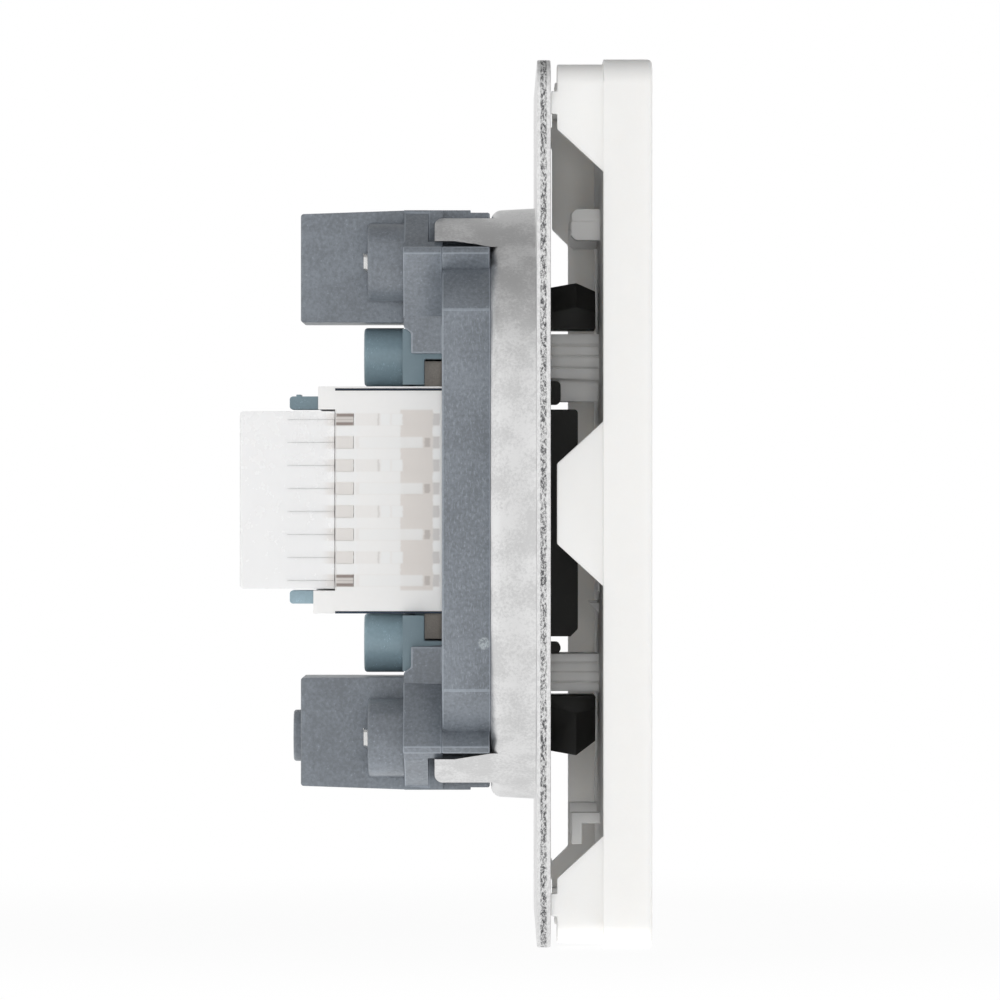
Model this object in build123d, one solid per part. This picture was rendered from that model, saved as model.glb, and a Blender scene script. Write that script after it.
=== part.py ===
from build123d import *
import os

# Telephone socket module for a flush wall box, in millimetres.
# The rear (wall) face of the steel plate lies in the plane y = 0 and its centre is the origin.
# The cover faces -Y, the terminal block points to +Y and +Z is up.

# Square outline of the plate and of the cover
face_size = 71.0

# Steel support plate
plate_thickness = 1.1
plate_corner = 3.0
box_screw_spacing = 60.0
box_slot_width = 3.8
box_slot_length = 6.0

# Drawn collar in the middle of the plate
collar_radius = 24.7
collar_depth = 3.7
collar_taper = 0.2
collar_bend = 0.9
collar_mouth_bend = 0.4
collar_window_width = 19.0
collar_window_height = 25.2
collar_window_corner = 2.0

# Lugs that stand back from the collar and hold the base
lug_low_inset = 3.35
lug_high_inset = 1.3
lug_reach = 4.65
lug_flare = 0.5
lug_flare_length = 3.0
lug_corner = 0.65
lug_inner_x = 6.0

# The lugs and everything moulded behind the plate sit this much above the plate's centre
insert_rise = 0.3

# Base frame: its ends are set in from the collar's radius
deck_depth = 4.0
body_half_width = 17.3
body_side_drop = 5.6
body_corner_width = 14.3
body_corner_drop = 2.6
body_crown_width = 11.6
body_crown_drop = 1.1
body_top_width = 9.0
body_end_inset = 3.5
flange_depth = 3.2
flange_half_width = 12.4
flange_taper = 1.8
flange_side_drop = 3.8
flange_crown_width = 10.8
flange_crown_drop = 2.6
flange_top_width = 5.2
flange_end_inset = 0.6
lug_slot_gap = 0.55
tongue_half_width = 5.0
tongue_gap = 0.1
tongue_step_depth = 1.6
tongue_step_drop = 0.2
foot_reach = 2.15
foot_slope = 0.45
foot_depth = 2.6
tower_half_width = 5.8
tower_setback = 0.5
tower_end_inset = 0.95
tower_depth = 8.6
tower_draft = 0.3
tower_edge = 0.25
boss_radius = 3.25
boss_height = 3.0
boss_edge = 0.3
boss_x = 6.9
boss_inset = 5.0
nub_radius = 2.15
nub_height = 0.7
nub_inset = 5.0

# Fixing screws
screw_radius = 0.9
screw_head_radius = 1.8
screw_head_height = 1.2
screw_tip_reach = 0.4
screw_recess_width = 0.45
screw_recess_length = 2.2
screw_recess_depth = 0.6

# Circuit board
board_thickness = 1.5
board_half_height = 11.5

# Jack holder
holder_web = 0.8
holder_web_setback = 0.2
holder_end_half_width = 9.6
holder_half_height = 14.15
holder_end_depth = 3.3
holder_boss_radius = 2.45
holder_boss_height = 3.0
holder_boss_bulge = 0.3
holder_boss_z = 11.95
arm_half_width = 2.4
arm_thickness = 1.1
arm_low = 7.55
arm_reach = 2.1
arm_nub_height = 0.15
arm_nub_length = 0.4

# Terminal block housing
way_count = 8
way_pitch = 1.905
block_half_width = 8.6
block_half_height = 9.4
block_skirt_wall = 1.2
block_deck = 3.8
comb_height = 3.6
end_wall_height = 5.4
upper_end_wall_drop = 0.4
end_wall_thickness = 1.9
edge_groove_width = 0.2
edge_groove_depth = 0.4
edge_groove_inset = 0.15
comb_wall = 4.2
way_slot = 1.0
way_slot_depth = 1.55
window_depth = 0.35
window_length = 1.7

# Insulation displacement contacts
contact_inset = 2.2
contact_thickness = 0.45
contact_width = 2.2
contact_tip_drop = 0.1
contact_slot_width = 0.3
contact_slot_length = 3.3
contact_leg_width = 0.6
contact_leg_reach = 0.8
leg_hole_radius = 0.55

# Clear wire cap
cap_half_height = 7.35
cap_half_width = 8.2
cap_height = 7.6
cap_edge = 0.3
cap_pocket_half_width = 7.0
cap_pocket_width = 1.25
cap_pocket_depth = 4.3
cap_slit_width = 0.4
cap_slit_depth = 3.65

# Jack housing
jack_half_width = 7.9
jack_height = 18.8
jack_z = -1.6
jack_front = 3.5
jack_edge = 0.3
jack_chamfer = 0.6
plug_width = 11.8
plug_height = 6.8
plug_z = -2.2
plug_depth = 9.5
latch_way_width = 6.2
latch_way_height = 1.4
latch_slot_width = 3.4
latch_slot_height = 1.5
leg_relief_width = 1.5

# Hooks that stand forward beside the ends of the jack
hook_inner_x = 2.5
hook_width = 1.8
hook_front = 2.1
hook_depth = 2.0
hook_edge = 0.4
upper_hook_gap = 0.5
upper_hook_height = 1.9
lower_hook_gap = 0.6
lower_hook_height = 0.85

# Jack contact wires and the comb that carries them
wire_count = 8
wire_pitch = 1.02
wire_size = 0.35
wire_z = 4.8
wire_bend = 0.7
wire_front_y = 0.2
wire_tip_y = 4.9
wire_tip_z = -0.6
wire_slot = 0.5
wire_room_half_width = 4.3
wire_room_top = 5.4
wire_room_front = -0.8
wire_hole_radius = 0.4
carrier_front = 1.8
carrier_low = 1.6
carrier_shoulder = 3.6

# Black latches beside the jack
latch_half_width = 4.7
latch_ridge = 0.4
latch_top_half_width = 2.4
latch_ridge_y = -3.4
latch_peg_radius = 1.2
latch_peg_length = 3.0
upper_latch_shoulder = 1.4
upper_latch_height = 3.5
upper_latch_nose = 3.2
lower_latch_shoulder = 1.0
lower_latch_height = 4.6
lower_latch_nose = 3.8

# Cover
cover_corner = 2.0
cover_slab = 3.9
cover_edge = 0.4
cover_gap = 4.2
skirt_inset = 0.4
skirt_wall = 1.6
skirt_gap = 0.5
skirt_notch_inset = 9.0
skirt_notch_inner = 6.6
skirt_notch_slope = 3.4
far_notch_depth = 1.4
far_notch_top_inset = 11.5
far_notch_bottom_inset = 4.1
pip_width = 1.8
pip_inset = 3.5
plug_window_width = 13.0
plug_window_height = 11.6
plug_window_chamfer = 0.6
post_x = 12.0
post_width = 2.0
post_length = 2.4
post_wall = 0.9
post_foot = 2.6
post_ledge_width = 1.0
post_ledge_depth = 0.3
post_edge = 0.4
upper_post_z = 22.95
lower_post_z = 26.7
leg_half_width = 4.5
leg_length = 6.6
leg_groove = 0.2
leg_groove_count = 3
upper_leg_inner = 10.4
upper_leg_outer = 14.1
lower_leg_inner = 12.5
lower_leg_outer = 15.6
guide_half_width = 2.0
upper_guide_inner = 8.5
gusset_wall = 0.8
gusset_size = 0.9

# Clearances
slip_fit = 0.15
seat_gap = 0.3
screw_fit = 0.1
wire_fit = 0.05
lug_fit = 0.05
flange_gap = 0.1
latch_gap = 0.4
board_gap = 0.4

# Planes worked out from the sizes above
plate_front = -plate_thickness
cup_floor = collar_depth - plate_thickness
deck = collar_depth + deck_depth
flange_rear = deck + flange_depth
tower_rear = flange_rear + tower_depth
boss_rear = flange_rear + boss_height
board_rear = deck + board_thickness
web_rear = board_rear + holder_web
block_rear = web_rear + block_deck - holder_web
comb_rear = block_rear + comb_height
end_wall_rear = block_rear + end_wall_height
cap_front = comb_rear + seat_gap
jack_low = jack_z - jack_height / 2
jack_high = jack_z + jack_height / 2
plug_floor = plug_z - plug_height / 2
plug_roof = plug_z + plug_height / 2
slab_inner = plate_front - cover_gap
slab_front = slab_inner - cover_slab
skirt_rear = plate_front - skirt_gap

# Widths set in from the terminal block's sides
board_half_width = block_half_width - block_skirt_wall - board_gap
holder_web_half_width = board_half_width - holder_web_setback
contact_x = block_half_width - contact_inset

# Heights above and below the centre of the insert
lug_low = collar_radius - lug_low_inset
lug_high = collar_radius - lug_high_inset
body_half_height = collar_radius - body_end_inset
flange_low = holder_half_height + flange_gap
flange_half_height = collar_radius - flange_end_inset
tower_low = flange_low + tower_setback
tower_high = collar_radius - tower_end_inset
boss_z = collar_radius - boss_inset
nub_z = collar_radius - nub_inset
upper_latch_inner = upper_leg_outer + latch_gap
lower_latch_inner = lower_leg_outer + latch_gap


# Prism along Y with its outline in the XZ plane
def prism(section, front, rear):
    return extrude(Plane.XZ.offset(-rear) * section, amount=rear - front, dir=(0, -1, 0))


# Prism along X with its outline in the YZ plane
def side_prism(section, left, right):
    return extrude(Plane.YZ.offset(left) * section, amount=right - left, dir=(1, 0, 0))


def block(x_range, y_range, z_range):
    spans = (x_range, y_range, z_range)
    size = [high - low for low, high in spans]
    centre = [(high + low) / 2 for low, high in spans]
    return Pos(*centre) * Box(*size)


def peg(x, z, radius, front, rear):
    return prism(Pos(x, z) * Circle(radius), front, rear)


# Outline that is the same left and right, from the points of its right half
def mirrored_outline(points):
    left = [(-x, z) for x, z in reversed(points)]
    return Polygon(*points, *left, align=None)


# Band from low to high on the upper (side = 1) or lower (side = -1) half, round the height of the insert
def band(side, low, high, rise=insert_rise):
    ends = (rise + side * low, rise + side * high)
    return (min(ends), max(ends))


def screw_places():
    return [(x, insert_rise + side * boss_z) for side in (1, -1) for x in (-boss_x, boss_x)]


def latch_peg_places():
    upper = upper_latch_inner + upper_latch_height / 2
    lower = lower_latch_inner + lower_latch_height / 2
    return [upper, -lower]


# Each way of the terminal block: its height, and -1 or 1 for the side of its contact
def ways():
    top = insert_rise + way_pitch * (way_count - 1) / 2
    return [(top - way_pitch * i, -1 if i % 2 == 0 else 1) for i in range(way_count)]


def wire_places():
    left = -wire_pitch * (wire_count - 1) / 2
    return [left + wire_pitch * i for i in range(wire_count)]


# Cylinder wall of the collar carried on rearwards between two heights, with one rounded corner
def collar_lugs():
    outer = collar_radius - collar_taper
    rear = collar_depth + lug_reach
    ring = prism(Circle(outer) - Circle(outer - plate_thickness), cup_floor, rear)
    lugs = Part()
    half = [
        (0, lug_low - lug_flare), (collar_depth, lug_low - lug_flare), (collar_depth + lug_flare_length, lug_low),
        (rear, lug_low), (rear, lug_high), (0, lug_high),
    ]
    for side in (1, -1):
        profile = Polygon(*[(y, insert_rise + side * z) for y, z in half], align=None)
        tip_z = insert_rise + side * lug_high
        tip = [v for v in profile.vertices() if v.X > rear - 0.01 and abs(v.Y - tip_z) < 0.01]
        profile = fillet(tip, lug_corner)
        for span in ((-collar_radius, -lug_inner_x), (lug_inner_x, collar_radius)):
            lugs += ring & side_prism(profile, *span)
    return lugs


def support_plate():
    sheet = RectangleRounded(face_size, face_size, plate_corner) - Circle(collar_radius - plate_thickness)
    for x, z in ((1, 0), (-1, 0), (0, 1), (0, -1)):
        spot = Pos(x * box_screw_spacing / 2, z * box_screw_spacing / 2)
        sheet -= spot * SlotOverall(box_slot_length, box_slot_width)
    inner = collar_radius - plate_thickness
    foot = collar_radius - collar_taper
    profile = Polygon(
        (0, cup_floor), (foot - plate_thickness, cup_floor), (inner, plate_front),
        (collar_radius, plate_front), (collar_radius, 0), (foot, collar_depth), (0, collar_depth),
        align=None,
    )
    rim = [v for v in profile.vertices() if v.X > foot - 0.01 and v.Y > cup_floor + 0.01]
    cup = revolve(fillet(rim, collar_bend), Axis.Y)
    plate = prism(sheet, plate_front, 0) + cup + collar_lugs()
    mouth = plate.edges().filter_by(GeomType.CIRCLE).group_by(Axis.Y)[0]
    plate = fillet([e for e in mouth if abs(e.radius - inner) < 0.01], collar_mouth_bend)
    window = RectangleRounded(collar_window_width, collar_window_height, collar_window_corner)
    plate -= prism(window, cup_floor, collar_depth)
    for x, z in screw_places():
        plate -= peg(x, z, screw_radius + screw_fit, cup_floor, collar_depth)
    for z in latch_peg_places():
        plate -= peg(0, z, latch_peg_radius + screw_fit, cup_floor, collar_depth)
    return plate


def body_outline():
    half = [
        (body_half_width, body_half_height - body_side_drop),
        (body_corner_width, body_half_height - body_corner_drop),
        (body_crown_width, body_half_height - body_crown_drop),
        (body_top_width, body_half_height),
    ]
    upper = [(x, insert_rise + z) for x, z in half]
    lower = [(x, insert_rise - z) for x, z in reversed(half)]
    return mirrored_outline(lower + upper)


# Flange behind the deck at one end, with the slot for the lugs, the tongue and the two feet
def base_flange(side):
    foot_outer = flange_half_width - flange_taper
    half = [
        (foot_outer, flange_low), (flange_half_width, flange_half_height - flange_side_drop),
        (flange_crown_width, flange_half_height - flange_crown_drop), (flange_top_width, flange_half_height),
    ]
    flange = prism(mirrored_outline([(x, insert_rise + side * z) for x, z in half]), deck, flange_rear)
    slot_rear = collar_depth + lug_reach + lug_slot_gap
    slot = band(side, lug_low - lug_fit, flange_half_height + 1)
    for x_range in ((-collar_radius, -tongue_half_width), (tongue_half_width, collar_radius)):
        flange -= block(x_range, (deck, slot_rear), slot)
    tongue_front = collar_depth + tongue_gap
    step = tongue_front + tongue_step_depth
    width = (-tongue_half_width, tongue_half_width)
    root = body_half_height - 1
    flange += block(width, (step, slot_rear), band(side, root, flange_half_height))
    flange += block(width, (tongue_front, step), band(side, root, flange_half_height - tongue_step_drop))
    foot_rear = deck + foot_depth
    foot = [
        (deck, flange_low - foot_reach), (foot_rear, flange_low - foot_reach),
        (foot_rear, flange_low - foot_slope), (flange_rear, flange_low), (deck, flange_low),
    ]
    profile = Polygon(*[(y, insert_rise + side * z) for y, z in foot], align=None)
    foot_inner = holder_end_half_width + slip_fit
    flange += side_prism(profile, -foot_outer, -foot_inner) + side_prism(profile, foot_inner, foot_outer)
    return flange


# Block that stands back from the flange, slightly tapered
def base_tower(side):
    points = [
        (deck, tower_low), (flange_rear, tower_low), (tower_rear, tower_low),
        (tower_rear, tower_high), (flange_rear, tower_high + tower_draft), (deck, tower_high + tower_draft),
    ]
    profile = Polygon(*[(y, insert_rise + side * z) for y, z in points], align=None)
    tower = side_prism(profile, -tower_half_width, tower_half_width)
    return fillet(tower.faces().sort_by(Axis.Y)[-1].edges(), tower_edge)


def screw_boss(x, z):
    boss = peg(x, z, boss_radius, flange_rear, boss_rear)
    return fillet(boss.faces().sort_by(Axis.Y)[-1].edges(), boss_edge)


def base_frame():
    base = prism(body_outline(), collar_depth, deck)
    for side in (1, -1):
        base += base_flange(side) + base_tower(side)
    for x, z in screw_places():
        base += screw_boss(x, z)
    nub = peg(0, insert_rise - nub_z, nub_radius, flange_rear, tower_rear + nub_height)
    base += fillet(nub.faces().sort_by(Axis.Y)[-1].edges(), nub_height / 3)
    around = slip_fit
    base -= block(
        (-jack_half_width - around, jack_half_width + around), (collar_depth, deck),
        (jack_low - around, jack_high + around),
    )
    for x, z in screw_places():
        base -= peg(x, z, screw_radius + screw_fit, collar_depth, boss_rear)
    for z in latch_peg_places():
        base -= peg(0, z, latch_peg_radius + screw_fit, collar_depth, cup_floor + latch_peg_length + seat_gap)
    return base


# Pan head screw from the collar floor, through the boss
def fixing_screw(x, z):
    tip = boss_rear + screw_tip_reach
    head = peg(x, z, screw_head_radius, cup_floor - screw_head_height, cup_floor)
    head = fillet(head.faces().sort_by(Axis.Y)[0].edges(), screw_head_height / 2)
    shank = peg(x, z, screw_radius, cup_floor, tip)
    shank = chamfer(shank.faces().sort_by(Axis.Y)[-1].edges(), screw_tip_reach / 2)
    cross = Rectangle(screw_recess_length, screw_recess_width)
    cross += Rectangle(screw_recess_width, screw_recess_length)
    top = cup_floor - screw_head_height
    return head + shank - prism(Pos(x, z) * cross, top, top + screw_recess_depth)


def circuit_board():
    height = (insert_rise - board_half_height, insert_rise + board_half_height)
    board = block((-board_half_width, board_half_width), (deck, board_rear), height)
    for z, side in ways():
        board -= peg(side * contact_x, z, leg_hole_radius, deck, board_rear)
    for x in wire_places():
        board -= peg(x, wire_z, wire_hole_radius, deck, board_rear)
    return board


# Arm that passes through the end wall of the terminal block and shows behind it
def holder_arm(side):
    rear = end_wall_rear + arm_reach
    arm = block(
        (-arm_half_width, arm_half_width), (board_rear, rear), band(side, arm_low, arm_low + arm_thickness)
    )
    arm = fillet(arm.faces().sort_by(Axis.Y)[-1].edges().filter_by(Axis.X), arm_thickness / 4)
    if side < 0:
        return arm
    nub_rear = rear - arm_thickness / 2
    nub = band(side, arm_low, arm_low + arm_thickness + arm_nub_height)
    return arm + block((-arm_half_width, arm_half_width), (nub_rear - arm_nub_length, nub_rear), nub)


def holder_boss(side):
    z = insert_rise + side * holder_boss_z
    start = deck + holder_end_depth
    boss = peg(0, z, holder_boss_radius, start, start + holder_boss_height + holder_boss_bulge)
    return fillet(boss.faces().sort_by(Axis.Y)[-1].edges(), holder_boss_bulge)


def jack_holder():
    height = (insert_rise - holder_half_height, insert_rise + holder_half_height)
    holder = block((-holder_web_half_width, holder_web_half_width), (board_rear, web_rear), height)
    wide = (-holder_end_half_width, holder_end_half_width)
    over_block = block_half_height + slip_fit
    beside_board = board_half_height + slip_fit
    for side in (1, -1):
        holder += block(wide, (board_rear, deck + holder_end_depth), band(side, over_block, holder_half_height))
        holder += block(wide, (deck, board_rear), band(side, beside_board, holder_half_height))
        holder += holder_boss(side) + holder_arm(side)
    for z, side in ways():
        holder -= peg(side * contact_x, z, leg_hole_radius, board_rear, web_rear)
    return holder


# Comb wall on one side: a slot for each wire, with a pocket for each contact of that side
def comb_cuts(side):
    outer = side * block_half_width
    inner = side * (block_half_width - comb_wall)
    span = (min(inner, outer), max(inner, outer))
    cuts = Part()
    half = contact_width / 2 + slip_fit
    depth = contact_thickness / 2 + slip_fit
    for z, way_side in ways():
        cuts += block(span, (comb_rear - way_slot_depth, comb_rear), (z - way_slot / 2, z + way_slot / 2))
        if way_side == side:
            x = side * contact_x
            cuts += block((x - depth, x + depth), (web_rear, comb_rear), (z - half, z + half))
    return cuts


# Shallow windows in the side wall, one for each way
def side_windows(side):
    outer = side * block_half_width
    inner = outer - side * window_depth
    span = (min(inner, outer), max(inner, outer))
    front = web_rear - window_length / 2
    cuts = Part()
    for z, way_side in ways():
        cuts += block(span, (front, front + window_length), (z - way_slot / 2, z + way_slot / 2))
    return cuts


# Fine groove along each end of a side wall: inside the upper edge, and open at the lower one
def edge_grooves(side):
    outer = side * block_half_width
    inner = outer - side * edge_groove_depth
    span = (min(inner, outer), max(inner, outer))
    high = block_half_height - edge_groove_inset
    upper = block(span, (deck, comb_rear), band(1, high - edge_groove_width, high))
    lower = block(span, (deck, comb_rear), band(-1, block_half_height - edge_groove_width, block_half_height))
    return upper + lower


def idc_housing():
    wide = (-block_half_width, block_half_width)
    tall = (insert_rise - block_half_height, insert_rise + block_half_height)
    inside = block_half_height - end_wall_thickness
    room = (insert_rise - inside, insert_rise + inside)
    housing = block(wide, (web_rear, end_wall_rear), tall)
    housing -= block(wide, (comb_rear, end_wall_rear), room)
    upper_rear = end_wall_rear - upper_end_wall_drop
    housing -= block(wide, (upper_rear, end_wall_rear), band(1, inside, block_half_height))
    middle = block_half_width - comb_wall
    housing -= block((-middle, middle), (block_rear, comb_rear), room)
    skirt_inner = block_half_width - block_skirt_wall
    for x_range in ((-block_half_width, -skirt_inner), (skirt_inner, block_half_width)):
        housing += block(x_range, (deck, web_rear), tall)
    for side in (-1, 1):
        housing -= comb_cuts(side) + side_windows(side) + edge_grooves(side)
        pocket = band(side, arm_low - slip_fit, arm_low + arm_thickness + arm_nub_height + slip_fit)
        pocket_width = (-arm_half_width - slip_fit, arm_half_width + slip_fit)
        housing -= block(pocket_width, (web_rear, end_wall_rear), pocket)
    return housing


# Forked contact: a blade with a slot for the wire and a leg through the board
def idc_contact(z, side):
    x = side * contact_x
    thin = (x - contact_thickness / 2, x + contact_thickness / 2)
    tip = comb_rear - contact_tip_drop
    half = contact_width / 2
    blade = block(thin, (web_rear, tip), (z - half, z + half))
    blade -= block(
        thin, (tip - contact_slot_length, tip), (z - contact_slot_width / 2, z + contact_slot_width / 2)
    )
    blade = chamfer(blade.faces().sort_by(Axis.Y)[-1].edges().filter_by(Axis.X), contact_slot_width)
    leg = contact_leg_width / 2
    return blade + block(thin, (deck - contact_leg_reach, web_rear), (z - leg, z + leg))


def wire_cap():
    rear = cap_front + cap_height
    outline = (insert_rise - cap_half_height, insert_rise + cap_half_height)
    cap = block((-cap_half_width, cap_half_width), (cap_front, rear), outline)
    cap = fillet(cap.faces().sort_by(Axis.Y)[-1].edges(), cap_edge)
    pocket_x = (-cap_pocket_half_width, cap_pocket_half_width)
    wide = (-cap_half_width, cap_half_width)
    for z, side in ways():
        pocket = (z - cap_pocket_width / 2, z + cap_pocket_width / 2)
        cap -= block(pocket_x, (cap_front, cap_front + cap_pocket_depth), pocket)
        slit = (z - cap_slit_width / 2, z + cap_slit_width / 2)
        cap -= block(wide, (cap_front, cap_front + cap_slit_depth), slit)
    return cap


# Room for the plug: the mouth and the stepped way of its latch below it
def plug_room():
    rear = -jack_front + plug_depth
    room = block((-plug_width / 2, plug_width / 2), (-jack_front, rear), (plug_floor, plug_roof))
    step = plug_floor - latch_way_height
    half = latch_way_width / 2
    room += block((-half, half), (-jack_front, rear), (step, plug_floor))
    half = latch_slot_width / 2
    return room + block((-half, half), (-jack_front, rear), (step - latch_slot_height, step))


# Hook on one end of the jack: it leaves the jack above the collar floor and turns towards the cover
def jack_hook(x, side, gap, height):
    ends = {1: jack_high, -1: jack_low}
    root = ends[side]
    low = root + side * gap
    tip = low + side * height
    span = (x - hook_width / 2, x + hook_width / 2)
    hook = block(span, (-hook_front, hook_depth), (min(low, tip), max(low, tip)))
    hook = fillet(hook.faces().sort_by(Axis.Y)[0].edges().filter_by(Axis.X), hook_edge)
    return hook + block(span, (0, hook_depth), (min(root, tip), max(root, tip)))


def jack_housing():
    wide = (-jack_half_width, jack_half_width)
    jack = block(wide, (-jack_front, deck), (jack_low, jack_high))
    lower_front = jack.edges().filter_by(Axis.X).group_by(Axis.Y)[0].sort_by(Axis.Z)
    jack = chamfer(lower_front[0], jack_chamfer)
    upper_front = jack.edges().filter_by(Axis.X).group_by(Axis.Y)[0].sort_by(Axis.Z)
    jack = fillet(upper_front[-1], jack_edge)
    jack -= plug_room()
    room = (-wire_room_half_width, wire_room_half_width)
    jack -= block(room, (wire_room_front, deck), (plug_roof, wire_room_top))
    low = min(z for z, side in ways()) - leg_relief_width / 2
    high = max(z for z, side in ways()) + leg_relief_width / 2
    for x in (-contact_x, contact_x):
        relief = (x - leg_relief_width / 2, x + leg_relief_width / 2)
        jack -= block(relief, (deck - contact_leg_reach - seat_gap, deck), (low, high))
    hook_x = hook_inner_x + hook_width / 2
    for x in (-hook_x, hook_x):
        jack += jack_hook(x, 1, upper_hook_gap, upper_hook_height)
        jack += jack_hook(x, -1, lower_hook_gap, lower_hook_height)
    return jack


# Block behind the wires, with a groove for each of them
def contact_carrier():
    top = wire_room_top - wire_fit
    rear = deck - wire_fit
    points = [
        (carrier_front, top), (rear, top), (rear, carrier_low), (carrier_shoulder, carrier_low),
        (carrier_front, carrier_shoulder),
    ]
    half = wire_room_half_width - wire_fit
    carrier = side_prism(Polygon(*points, align=None), -half, half)
    floor = wire_z - wire_size / 2 - wire_fit
    for x in wire_places():
        carrier -= block((x - wire_slot / 2, x + wire_slot / 2), (carrier_front, rear), (floor, top))
    return carrier


# Sprung wire: from the board forward over the carrier, round the bend and back down into the plug room
def jack_contact(x):
    path = FilletPolyline(
        (board_rear - wire_size, wire_z), (wire_front_y, wire_z), (wire_tip_y, wire_tip_z), radius=wire_bend
    )
    ribbon = offset(path, amount=wire_size / 2, side=Side.BOTH)
    return side_prism(make_face(ribbon), x - wire_size / 2, x + wire_size / 2)


# Outline of a latch: a flat base towards the jack and a chamfered crown away from it
def latch_section(side, half_width, inner, shoulder, outer, top_half_width):
    half = [(half_width, inner), (half_width, shoulder), (top_half_width, outer)]
    return mirrored_outline([(x, side * z) for x, z in half])


# Faceted latch standing on the collar floor, thickest at its ridge
def latch(side, inner, shoulder_rise, height, nose_rise, peg_z):
    front = slab_inner + seat_gap
    shoulder = inner + shoulder_rise
    outer = inner + height
    plain = latch_section(side, latch_half_width, inner, shoulder, outer, latch_top_half_width)
    ridge_width = latch_half_width + latch_ridge
    ridge = latch_section(side, ridge_width, inner, shoulder + latch_ridge, outer + latch_ridge,
                          latch_top_half_width + latch_ridge)
    nose = latch_section(side, latch_half_width, inner, shoulder, inner + nose_rise, latch_top_half_width)
    body = prism(plain, plate_front, cup_floor)
    sections = [
        Plane.XZ.offset(-plate_front) * plain, Plane.XZ.offset(-latch_ridge_y) * ridge,
        Plane.XZ.offset(-front) * nose,
    ]
    body += loft(sections[:2], ruled=True) + loft(sections[1:], ruled=True)
    return body + peg(0, peg_z, latch_peg_radius, cup_floor, cup_floor + latch_peg_length)


# Tapered notches between the tabs of one skirt wall, as an outline of height against depth
def skirt_notches():
    notches = []
    end = face_size / 2 - skirt_notch_inset
    for side in (1, -1):
        points = [
            (slab_inner, side * skirt_notch_inner), (slab_inner, side * end),
            (skirt_rear, side * (end + skirt_notch_slope)),
            (skirt_rear, side * (skirt_notch_inner - skirt_notch_slope)),
        ]
        notches.append(Polygon(*points, align=None))
    return notches


def far_notch():
    depth = skirt_rear - far_notch_depth
    top = face_size / 2 - far_notch_top_inset
    bottom = far_notch_bottom_inset - face_size / 2
    points = [
        (depth, bottom + far_notch_depth), (depth, top - far_notch_depth), (skirt_rear, top), (skirt_rear, bottom),
    ]
    return Polygon(*points, align=None)


def cover_skirt():
    size = face_size - 2 * skirt_inset
    corner = cover_corner - skirt_inset
    inner_size = size - 2 * skirt_wall
    ring = RectangleRounded(size, size, corner) - Rectangle(inner_size, inner_size)
    skirt = prism(ring, slab_inner, skirt_rear)
    half = face_size / 2
    near = -half + skirt_inset + skirt_wall
    for notch in skirt_notches():
        cut = side_prism(notch, -half, near)
        skirt -= cut
        for turn in (90, -90):
            skirt -= Rot(0, turn, 0) * cut
    skirt -= side_prism(far_notch(), -near, half)
    for z in (half - pip_inset, pip_inset - half):
        for x in (-1, 1):
            outer = x * (half - skirt_inset)
            inner = x * (half - skirt_inset - skirt_wall)
            span = (min(inner, outer), max(inner, outer))
            skirt += block(span, (skirt_rear, plate_front), (z - pip_width / 2, z + pip_width / 2))
    return skirt


# Post inside the cover with a ledge along its upper side
def upper_post(x):
    rear = slab_inner + post_length
    span = (x - post_width / 2, x + post_width / 2)
    low = upper_post_z - post_foot / 2
    high = upper_post_z + post_foot / 2
    post = block(span, (slab_inner, rear), (low, high))
    post = chamfer(post.faces().sort_by(Axis.Y)[-1].edges().filter_by(Axis.X), post_edge)
    ledge = (x - post_width / 2, x - post_width / 2 + post_ledge_depth)
    return post - block(ledge, (slab_inner, rear), (high - post_ledge_width, high))


# Bracket inside the cover that is open downwards
def lower_post(x):
    rear = slab_inner + post_length
    span = (x - post_width / 2, x + post_width / 2)
    low = -lower_post_z - post_foot / 2
    high = -lower_post_z + post_foot / 2
    post = block(span, (slab_inner, rear), (low, high))
    return post - block(span, (slab_inner, rear - post_wall), (low, high - post_wall))


# Ribbed leg that reaches from the cover into the collar beside the jack
def cover_leg(side, inner, outer):
    rear = slab_inner + leg_length
    leg = block((-leg_half_width, leg_half_width), (slab_inner, rear), band(side, inner, outer, 0))
    step = (outer - inner) / (leg_groove_count + 1)
    for i in range(leg_groove_count):
        z = side * (inner + step * (i + 1))
        for x in (-leg_half_width, leg_half_width):
            leg -= block((x - leg_groove, x + leg_groove), (slab_inner, rear), (z - leg_groove / 2, z + leg_groove / 2))
    return leg


# Small triangular gusset beside the plug window
def gusset(x, side):
    z = jack_z + side * (plug_window_height / 2 + gusset_wall)
    points = [(slab_inner, z), (slab_inner + gusset_size, z), (slab_inner, z + side * gusset_size)]
    return side_prism(Polygon(*points, align=None), x - gusset_wall / 2, x + gusset_wall / 2)


def cover():
    slab = prism(RectangleRounded(face_size, face_size, cover_corner), slab_front, slab_inner)
    slab = fillet(slab.faces().sort_by(Axis.Y)[0].edges(), cover_edge)
    window = Pos(0, jack_z) * Rectangle(plug_window_width, plug_window_height)
    slab -= prism(window, slab_front, slab_inner)
    rim = [e for e in slab.edges().group_by(Axis.Y)[0] if abs(e.center().X) < plug_window_width]
    slab = chamfer([e for e in rim if abs(e.center().Z - jack_z) < plug_window_height], plug_window_chamfer)
    shell = slab + cover_skirt()
    for x in (-post_x, post_x):
        shell += upper_post(x) + lower_post(x)
    shell += cover_leg(1, upper_leg_inner, upper_leg_outer) + cover_leg(-1, lower_leg_inner, lower_leg_outer)
    guide = (-guide_half_width, guide_half_width)
    shell += block(guide, (slab_inner, slab_inner + leg_length), (upper_guide_inner, upper_leg_inner))
    for x in (-plug_window_width / 2, plug_window_width / 2):
        shell += gusset(x, 1) + gusset(x, -1)
    return shell


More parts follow.
